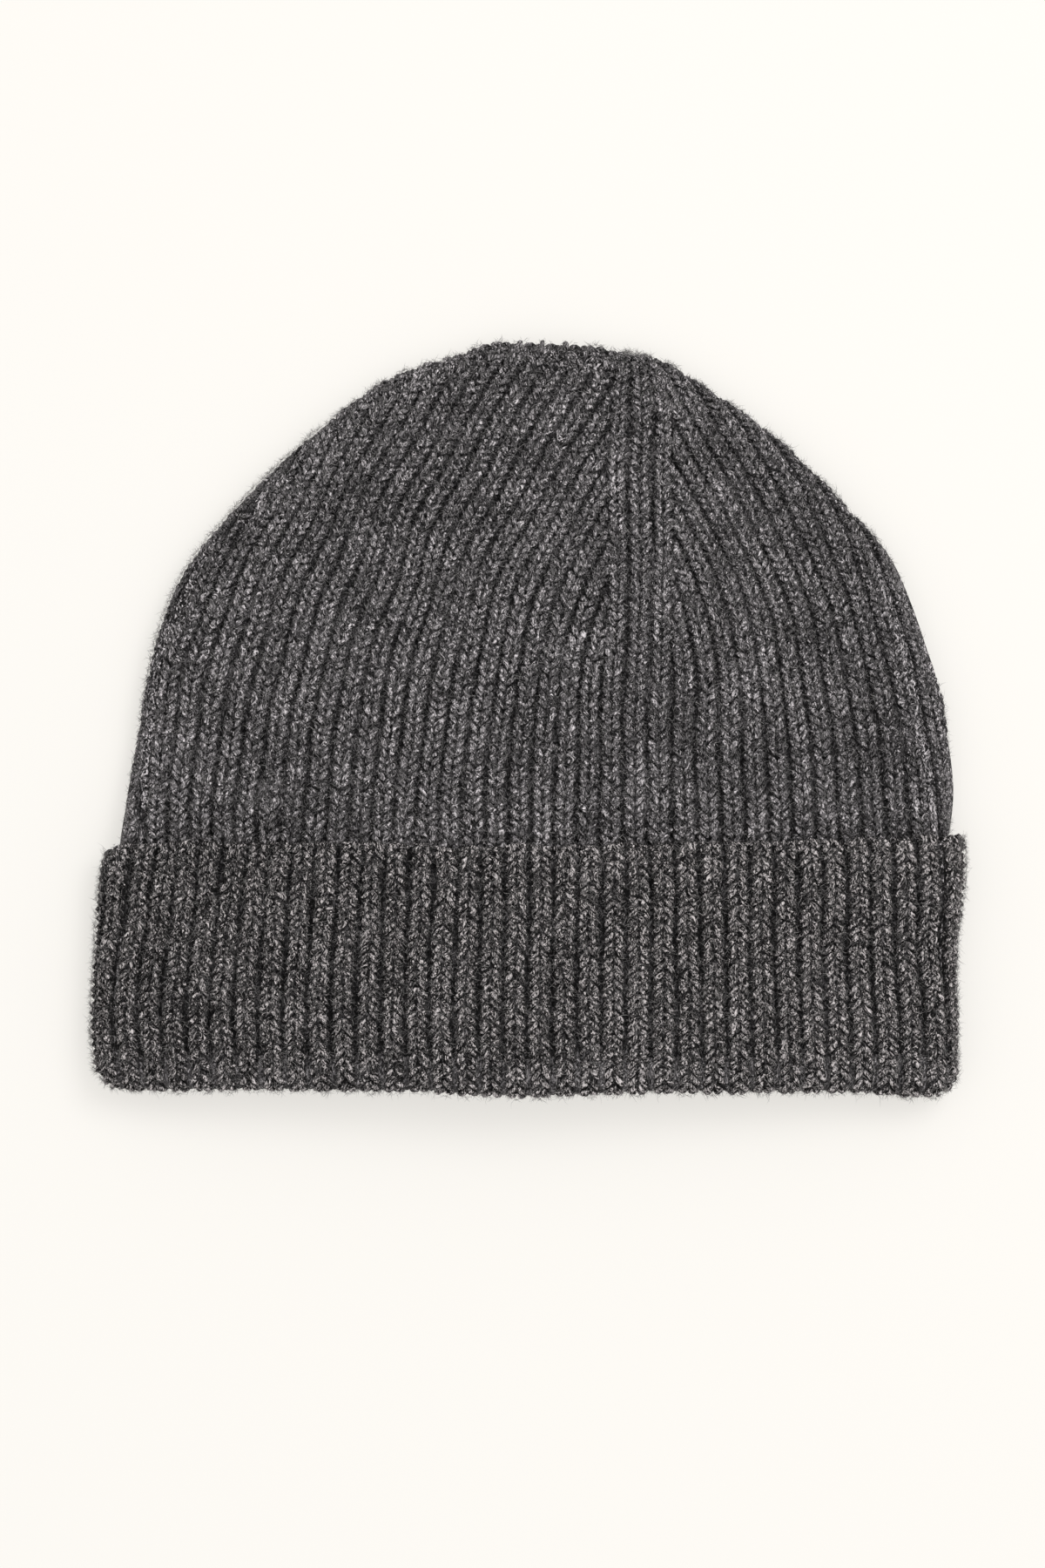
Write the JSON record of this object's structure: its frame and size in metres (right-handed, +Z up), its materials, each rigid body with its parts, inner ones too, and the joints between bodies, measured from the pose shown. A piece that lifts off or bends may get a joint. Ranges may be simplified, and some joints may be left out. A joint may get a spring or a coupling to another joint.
{
  "type": "knit beanie",
  "caption": "Ribbed knit beanie lying flat: a domed crown with decrease spines over a deep turned-up cuff that pulls down.",
  "frame": {"origin": "centre of the beanie's plan box, on the surface that it lies on", "axes": "+X to the wearer's left as the front faces up, along the cuff's width; +Y from the mouth to the crown; +Z up out of the front layer"},
  "size_m": [0.2306, 0.1992, 0.032],
  "materials": {
    "rib_knit": "charcoal heather wool, rib knit, slightly fuzzy",
    "yarn": "charcoal wool yarn"
  },
  "bodies": {
    "hat": {"body_back": "rib_knit", "body_front": "rib_knit", "body_left": "rib_knit", "body_right": "rib_knit", "crown_closing": "rib_knit", "crown_draw_yarn": "yarn", "crown_gore_back": "rib_knit", "crown_gore_front": "rib_knit", "crown_gore_right_back": "rib_knit", "crown_gore_right_edge": "rib_knit", "crown_gore_right_front": "rib_knit", "decrease_spine_back": "rib_knit", "decrease_spine_front": "rib_knit", "decrease_spine_left": "rib_knit", "inner_band_back": "rib_knit", "inner_band_front": "rib_knit", "inner_band_left": "rib_knit", "inner_band_right": "rib_knit", "linking_seam": "yarn"},
    "cuff": {"cuff_back": "rib_knit", "cuff_front": "rib_knit", "cuff_left": "rib_knit", "cuff_right": "rib_knit", "turned_edge": "rib_knit"}
  },
  "joints": [
    {"name": "cuff_unroll", "type": "slide", "parent": "hat", "child": "cuff", "axis": [0, -1, 0], "range_m": [0, 0.056]}
  ]
}
